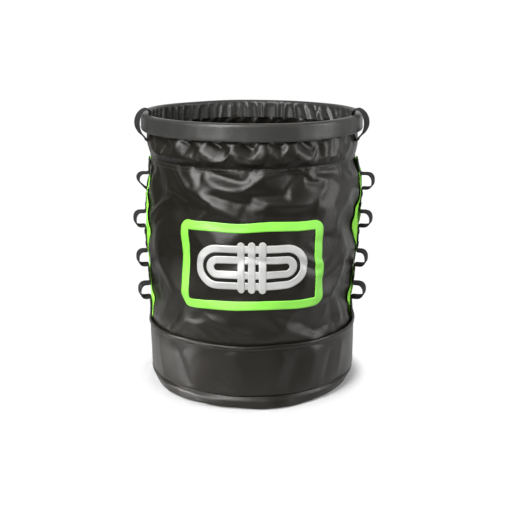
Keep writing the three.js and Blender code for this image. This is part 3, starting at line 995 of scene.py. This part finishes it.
# The upper left one has slumped.
SLUMPED = [
    (0, 15), (0.8, 12.4), (4, 11.5), (9, 11.8), (14, 9.6), (16.4, 5), (15, -0.5),
    (11, -4.6), (6.8, -8.6), (3.2, -11.8), (1, -14.5), (0, -17.5),
]
# How far each loop reaches against the outline above, from the lowest one up.
REACH = {"right": (1.0, 0.84, 0.98, 0.92), "left": (0.88, 0.84, 0.86, 0.9)}
CHAIN_LIFT = 2.6 * MM  # from the wall to the middle of the webbing


def make_chain(skin, side, sign):
    phi = sign * CHAIN_TURN
    out, _ = directions(phi)

    def on_wall(z):
        return skin.at(phi, z, CHAIN_LIFT).dot(out)

    corners = [(on_wall(CHAIN_TOP), CHAIN_TOP)]
    for number in (3, 2, 1, 0):
        chance = random.Random(31 * number + sign)
        middle = LOOP_HEIGHTS[number] * MM
        outline = SLUMPED if (side, number) == ("left", 3) else LOOP
        sag = chance.uniform(-1.5, 0.5)
        root = on_wall(middle)
        for reach, up in outline:
            z = middle + (up + sag * reach / 18) * MM
            lying = on_wall(z)
            standing = root + reach * REACH[side][number] * MM
            corners.append((lying + (standing - lying) * min(1, reach / 6), z))
    corners.append((on_wall(CHAIN_LOW), CHAIN_LOW))
    points = [out * r + Vector((0, 0, z)) for r, z in corners]

    def crosswise(place):
        """Tangent to the wall where the webbing lies on it, turned forward where it stands clear."""
        clear = clamp((place.dot(out) - on_wall(place.z)) / (15 * MM))
        return Matrix.Rotation(-sign * math.radians(9) * clear, 3, "Z") @ directions(phi)[1]

    chain = strap(f"chain_webbing_{side}", points, crosswise, 24.5 * MM, 1.8 * MM)
    finish_piece(chain, "bag", "webbing", [f"daisy_chain_{side}"], soft=True)


# The green strip's front margin at heights up the bag: how far it runs forward of the chain's middle,
# and how far it stands off the wall.
MARGIN_HEIGHTS = (94, 112, 126, 140, 160, 200, 224, 238, 254, 270, 286, 302, 318, 333.5)
MARGIN = {
    "right": {
        "width": (9, 12, 23, 14, 8, 8, 24, 36, 35, 20, 15, 22, 9, 6),
        "stand": (0, 0, 1, 0.6, 0, 0, 0, 0.6, 1, 1, 0.8, 0.4, 0.6, 0),
    },
    "left": {
        "width": (10, 18, 24, 12, 8, 12, 25, 31, 31, 24, 12, 8, 6, 6),
        "stand": (0, 0, 1, 0.6, 0, 0, 0, 0.8, 1.2, 1.2, 1.2, 0.8, 0, 0),
    },
}


def make_backing(skin, side, sign):
    """The green strip under a daisy chain. Its margins stand off the wall in waves."""
    heights = np.array(MARGIN_HEIGHTS) * MM
    width = np.array(MARGIN[side]["width"]) * MM
    stand = np.array(MARGIN[side]["stand"]) * MM

    def place(across, z):
        """across runs from -1 at the back margin to 1 at the front one."""
        forward = across * np.where(across > 0, smooth_curve(heights, width, z), 16 * MM)
        back_wave = (2 + 1.6 * rolling(0 * z, z, 40, 75 + sign)) * MM
        off = np.where(across > 0, smooth_curve(heights, stand, z), np.maximum(back_wave, 0))
        lift = 0.5 * MM + off * clamp((np.abs(across) - 0.45) / 0.55) ** 1.5
        return skin.sheet(sign * (CHAIN_TURN * FOOT_R - forward), z, lift)

    strip = grid(f"strip_{side}", np.linspace(-1, 1, 17), np.linspace(CHAIN_LOW, CHAIN_TOP, 110), place)
    thicken(strip, 1.1 * MM, offset=-float(sign), levels=1)
    finish_piece(strip, "bag", "green", [f"backing_strip_{side}"], soft=True)


# A hoist loop's outline, from the collar up clear of the rim, over it and down inside: (radius, height).
HOIST = [
    (155.2, 361), (156.6, 364.5), (159.6, 368), (163.8, 372.5), (166.9, 379), (167.8, 386), (166.8, 393),
    (163.8, 399.6), (158.8, 404.4), (153.4, 405.4), (148.8, 402), (147.3, 394), (147.0, 380), (147.1, 367),
]


def make_hoist_loop(side, sign):
    """Webbing sewn to the collar and inside the sleeve, twisted a little where it stands clear."""
    phi = sign * HOIST_TURN
    out, forward = directions(phi)
    points = [out * (r * MM) + Vector((0, 0, z * MM)) for r, z in HOIST]

    def crosswise(place):
        clear = clamp((place.dot(out) - RIM_R) / (10 * MM))
        return Matrix.Rotation(-sign * math.radians(10) * clear, 3, "Z") @ forward

    loop = strap(f"hoist_webbing_{side}", points, crosswise, 25 * MM, 2 * MM)
    finish_piece(loop, "rim", "webbing", [f"hoist_loop_{side}"])


# ---- label
FILM = 0.5 * MM
FILM_LIFT = 0.35 * MM  # from the wall to the back of a film


def rounded_ring(half_width, half_height, radius, offset, steps):
    """Points round a rectangle with round corners, moved outwards by offset. The count is the same for
    every offset. steps says how many points a corner, a long side and a short side have."""
    corner, long_side, short_side = steps
    quarter = math.pi / 2
    wide, high = half_width - radius, half_height - radius
    centres = [(wide, high), (-wide, high), (-wide, -high), (wide, -high)]
    r = max(radius + offset, 0.4 * MM)
    points = []
    for index, (x, y) in enumerate(centres):
        for t in np.linspace(0, 1, corner, endpoint=False):
            angle = (index + t) * quarter
            points.append((x + r * math.cos(angle), y + r * math.sin(angle)))
        angle = (index + 1) * quarter
        next_x, next_y = centres[(index + 1) % 4]
        start = (x + r * math.cos(angle), y + r * math.sin(angle))
        end = (next_x + r * math.cos(angle), next_y + r * math.sin(angle))
        for t in np.linspace(0, 1, short_side if index % 2 else long_side, endpoint=False):
            points.append((start[0] + (end[0] - start[0]) * t, start[1] + (end[1] - start[1]) * t))
    return np.array(points)


def ring_band(name, skin, half_width, half_height, radius, stroke, across, steps, warp=None):
    """A band round a rounded rectangle, laid on the wall."""
    insets = np.linspace(-stroke, 0, across)
    flat = np.array([rounded_ring(half_width, half_height, radius, inset, steps) for inset in insets])
    s, z = flat[..., 0], flat[..., 1] + LABEL_Z
    if warp is not None:
        s, z = warp(s, z)
    points = np.stack(skin.sheet(s, z, FILM_LIFT), -1).reshape(-1, 3)
    faces = quads(s.shape[1], across)[:, TURNED]
    uvs = np.stack([s, z], -1).reshape(-1, 2)[faces]
    return mesh_object(name, points, faces, uvs)


def border_warp(s, z):
    """The border isn't quite straight: it was sewn on by hand and pulled by the wall's folds."""
    right = clamp(s / LABEL_HALF) ** 4
    step = 1 / (1 + np.exp((z - 207 * MM) / (2.2 * MM)))
    s = s + right * (step * 4 - 1.5) * MM
    left = clamp(-s / LABEL_HALF) ** 4
    s = s - left * 1.8 * MM * np.cos((z - LABEL_Z) / (44 * MM))
    z = z + 1.1 * MM * np.sin(s / (31 * MM) + 1.0) + 0.6 * MM * np.sin(s / (13 * MM))
    z = z + 1.6 * MM * left * clamp((z - LABEL_Z) / (60 * MM))
    return s, z


def make_border(skin):
    half_height = (LABEL_HIGH - LABEL_LOW) / 2
    radius, stroke = 13 * MM, 12.6 * MM
    border = ring_band(
        "label_border_film", skin, LABEL_HALF, half_height, radius, stroke, 8, (10, 80, 48), border_warp
    )
    thicken(border, FILM, offset=1.0)
    finish_piece(border, "bag", "green_film", ["label_border"], soft=True)


def make_emblem(skin):
    """A plain sign for a hank of rope: two turns, one inside the other, and three wraps."""
    half_height, stroke, next_turn = 31 * MM, 10.5 * MM, 15.5 * MM
    half_width = FOOT_R * math.asin(73 * MM / FOOT_R)
    parts = []
    for inset in (0, next_turn):
        width, height = half_width - inset, half_height - inset
        parts.append(ring_band("turn", skin, width, height, height - 0.2 * MM, stroke, 7, (18, 60, 4)))

    half, tall, apart = 4.75 * MM, 36 * MM, 14 * MM
    straight = tall - half
    rise = np.concatenate([
        np.linspace(-tall, -straight, 7),
        np.linspace(-straight, straight, 30)[1:-1],
        np.linspace(straight, tall, 7),
    ])
    for middle in (-apart, 0, apart):

        def place(x, z, middle=middle):
            """The wrap is narrower towards its round ends."""
            narrow = np.sqrt(clamp(1 - np.clip((np.abs(z) - straight) / half, 0, 0.98) ** 2))
            return skin.sheet(middle + x * narrow, LABEL_Z + z, FILM_LIFT + 0.3 * MM)

        parts.append(grid("wrap", np.linspace(-half, half, 6), rise, place))
    for part in parts:
        thicken(part, FILM, offset=1.0)
    emblem = join("label_emblem_film", parts)
    finish_piece(emblem, "bag", "silver", ["label_emblem"], soft=True)


# ---- stitches
def stitches(name, places, thickness=0.55 * MM):
    """Thread as short rounded stitches. places is a list of (start, end, outward direction)."""
    sides = 5
    section = [(math.cos(a), math.sin(a)) for a in np.linspace(0, 2 * math.pi, sides, endpoint=False)]
    # How far along, how far out and how thick the thread is, at five places along one stitch.
    rows = [(0.0, -0.5, 0.5), (0.12, 0.25, 1.0), (0.5, 0.55, 1.0), (0.88, 0.25, 1.0), (1.0, -0.5, 0.5)]
    one_stitch = tube(sides, len(rows))
    points, faces = [], []
    for start, end, out in places:
        along = end - start
        side = along.cross(out).normalized()
        faces += [[len(points) + i for i in face] for face in one_stitch]
        for t, rise, grow in rows:
            middle = start + along * t + out * (rise * thickness)
            points += [middle + (side * a + out * b) * (thickness / 2 * grow) for a, b in section]
    return mesh_object(name, points, faces)


def row_of_stitches(place):
    """Stitches all the way round: place gives the point and outward direction at a distance."""
    pitch, fill = 4.2 * MM, 0.72
    found = []
    for k in range(int(ROUND / pitch)):
        start, out = place(k * pitch)
        end, _ = place((k + fill) * pitch)
        found.append((start, end, out))
    return found


def sew_wall(skin):
    """Two rows of stitches under the collar, given a mesh of their own."""
    rows = []
    for z in (SEAM_Z - 4 * MM, SEAM_Z - 8.5 * MM):

        def place(s, z=z):
            phi = s / FOOT_R
            return skin.at(phi, z, 0.1 * MM), directions(phi)[0]

        rows += row_of_stitches(place)
    piece = stitches("wall_stitches", rows)
    finish_piece(piece, "bag", "thread", soft=True)


def sew_round(name, onto, z, body):
    """A row of stitches round the outside of a finished piece."""
    skin = Skin(onto)

    def place(s):
        phi = s / FOOT_R
        return skin.outside(phi, z), directions(phi)[0]

    finish_piece(stitches(name, row_of_stitches(place)), body, "thread")


def sew_chain(skin, side, sign):
    """Bar tacks across a daisy chain: two at both roots of each loop, and two at each end."""
    phi = sign * CHAIN_TURN
    out, across = directions(phi)
    rows = []
    heights = [CHAIN_LOW + 4 * MM, CHAIN_LOW + 9 * MM, CHAIN_TOP - 4 * MM, CHAIN_TOP - 9 * MM]
    for middle in LOOP_HEIGHTS:
        heights += [(middle + up) * MM for up in (-21.5, -19, 19, 21.5)]
    for z in heights:
        on_wall = skin.at(phi, z, CHAIN_LIFT + 0.95 * MM).dot(out)
        for k in range(-5, 5):
            start = out * on_wall + across * (k * 2.1 * MM) + Vector((0, 0, z))
            rows.append((start, start + across * (1.8 * MM), out))
    piece = stitches(f"chain_stitches_{side}", rows, 0.6 * MM)
    finish_piece(piece, "bag", "thread", soft=True)


make_camera()
make_studio()
wall = make_wall()
skin = Skin(wall)
make_wall_foot()
make_collar()
make_rim()
make_boot()
make_binding()
make_dish()
make_board()
for side, sign in SIDES.items():
    make_backing(skin, side, sign)
    make_chain(skin, side, sign)
    sew_chain(skin, side, sign)
    make_hoist_loop(side, sign)
sew_wall(skin)
make_border(skin)
make_emblem(skin)
split_wall(wall)

bpy.context.scene.view_settings.view_transform = "Standard"
